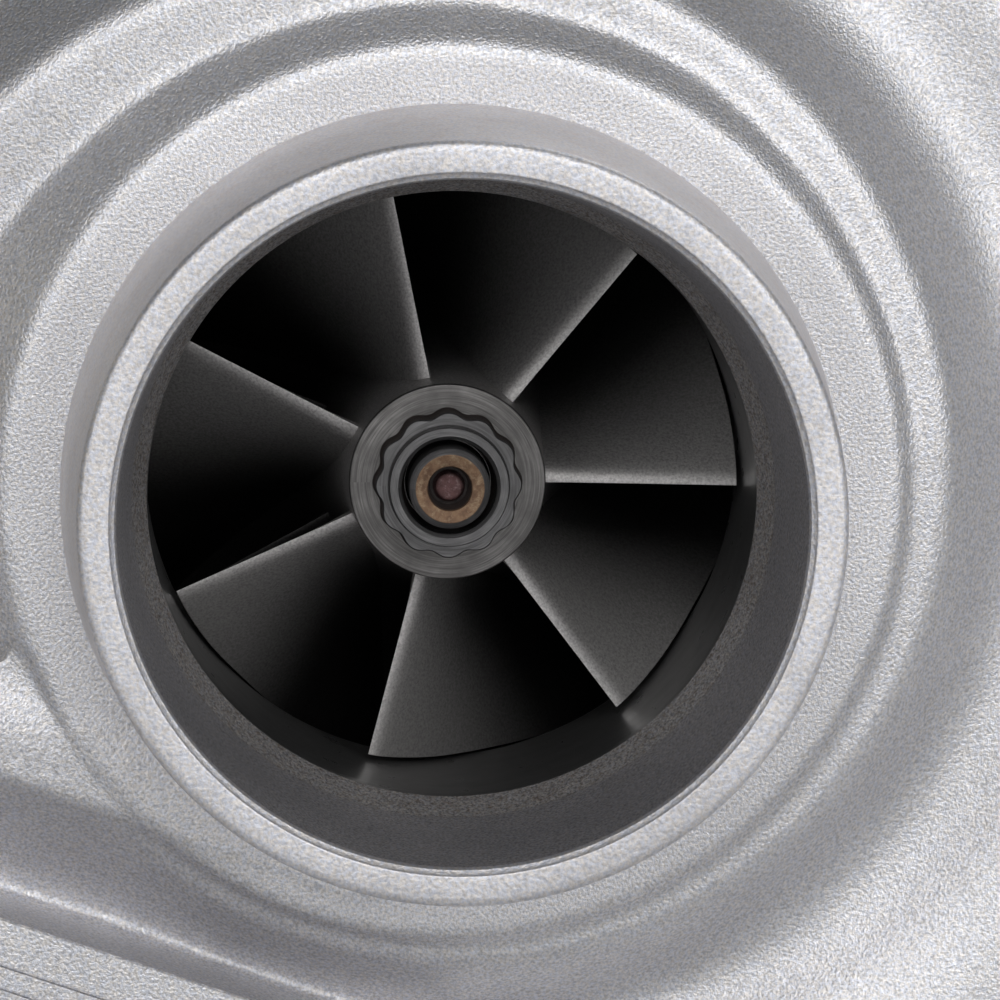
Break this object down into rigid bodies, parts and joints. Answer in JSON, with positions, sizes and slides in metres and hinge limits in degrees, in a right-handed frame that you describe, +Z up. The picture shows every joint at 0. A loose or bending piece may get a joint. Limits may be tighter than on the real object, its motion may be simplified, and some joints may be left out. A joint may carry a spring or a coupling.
{
  "type": "turbocharger",
  "caption": "Exhaust-driven turbocharger with a cast compressor housing, bladed rotor, cooled bearing housing, turbine housing, wastegate and pressure actuator.",
  "frame": {"origin": "on the turbine foot's underside, below the centre of the whole part's box", "axes": "+Z up from the turbine foot; the shaft runs along Y, the compressor inlet faces -Y, the turbine outlet faces +Y; +X is to the right of someone looking into the compressor inlet"},
  "size_m": [0.1934, 0.196, 0.1635],
  "materials": {
    "cast_aluminium": "as-cast, sand-textured, matt light grey, machined rims",
    "wheel_aluminium": "machined cast aluminium, dark grey, satin",
    "backplate_aluminium": "machined, matt",
    "cast_iron_turbine": "as-cast, heat-tinted brown, rough",
    "cast_iron_bearing": "as-cast, dark grey, rough",
    "machined_steel": "turned and ground, fine lathe marks",
    "shaft_steel": "turned steel, browned thread end",
    "plated_steel": "zinc plated, slightly yellow",
    "black_steel": "black coated pressed steel, satin",
    "nickel_alloy": "heat-darkened nickel alloy casting",
    "bronze": "machined bearing bronze",
    "brass_fitting": "machined brass",
    "spring_steel": "drawn wire",
    "rubber": "moulded, matt"
  },
  "bodies": {
    "housing": {"compressor_housing": "cast_aluminium", "backplate": "backplate_aluminium", "backplate_o_ring": "rubber", "compressor_bolt_1": "plated_steel", "compressor_bolt_2": "plated_steel", "compressor_bolt_3": "plated_steel", "compressor_bolt_4": "plated_steel", "compressor_bolt_5": "plated_steel", "compressor_bolt_6": "plated_steel", "clamp_plate_1": "plated_steel", "clamp_plate_2": "plated_steel", "clamp_plate_3": "plated_steel", "bearing_housing": "cast_iron_bearing", "bearing_spacer": "machined_steel", "thrust_bearing": "bronze", "compressor_seal_ring": "spring_steel", "turbine_seal_ring": "spring_steel", "heat_shield": "machined_steel", "turbine_housing": "cast_iron_turbine", "vband_clamp": "machined_steel", "vband_bolt": "plated_steel", "vband_nut": "plated_steel", "wastegate_bush": "spring_steel", "actuator_diaphragm": "rubber", "actuator_spring": "spring_steel", "actuator_front_shell": "plated_steel", "actuator_rear_shell": "plated_steel", "actuator_nipple": "brass_fitting", "actuator_bracket": "black_steel", "bracket_bolt_1": "plated_steel", "bracket_bolt_2": "plated_steel", "actuator_nut_1": "plated_steel", "actuator_nut_2": "plated_steel", "boost_nipple": "brass_fitting", "oil_inlet_fitting": "brass_fitting", "water_plug_right": "brass_fitting", "water_plug_left": "brass_fitting"},
    "rotor": {"rotor_shaft": "shaft_steel", "compressor_wheel": "wheel_aluminium", "compressor_wheel_nut": "machined_steel", "turbine_wheel": "nickel_alloy", "thrust_collar": "machined_steel", "oil_flinger": "machined_steel"},
    "wastegate": {"wastegate_arm": "nickel_alloy", "wastegate_valve": "nickel_alloy", "valve_retainer": "nickel_alloy", "wastegate_lever": "machined_steel", "lever_pin": "machined_steel", "lever_clip": "spring_steel"},
    "push_rod": {"actuator_rod": "plated_steel", "rod_end": "plated_steel", "rod_locknut": "plated_steel", "actuator_piston": "machined_steel"},
    "front_bearing": {"journal_bearing_front": "bronze"},
    "rear_bearing": {"journal_bearing_rear": "bronze"}
  },
  "joints": [
    {"name": "rotor_spin", "type": "hinge", "parent": "housing", "child": "rotor", "pos_m": [0.0225, -0.016, 0.092], "axis": [0, 1, 0], "continuous": true},
    {"name": "front_bearing_spin", "type": "hinge", "parent": "housing", "child": "front_bearing", "pos_m": [0.0225, -0.0195, 0.092], "axis": [0, 1, 0], "continuous": true},
    {"name": "rear_bearing_spin", "type": "hinge", "parent": "housing", "child": "rear_bearing", "pos_m": [0.0225, -0.0005, 0.092], "axis": [0, 1, 0], "continuous": true},
    {"name": "wastegate_swing", "type": "hinge", "parent": "housing", "child": "wastegate", "pos_m": [-0.0375, 0.065, 0.138], "axis": [1, 0, 0], "range_deg": [0, 30]},
    {"name": "rod_slide", "type": "slide", "parent": "housing", "child": "push_rod", "axis": [0, 1, 0], "range_m": [0, 0.01139], "deforming": ["actuator_spring", "actuator_diaphragm"]}
  ],
  "couplings": [
    {"joint": "rod_slide", "follows": "wastegate_swing", "m_per_rad": 0.02175}
  ]
}
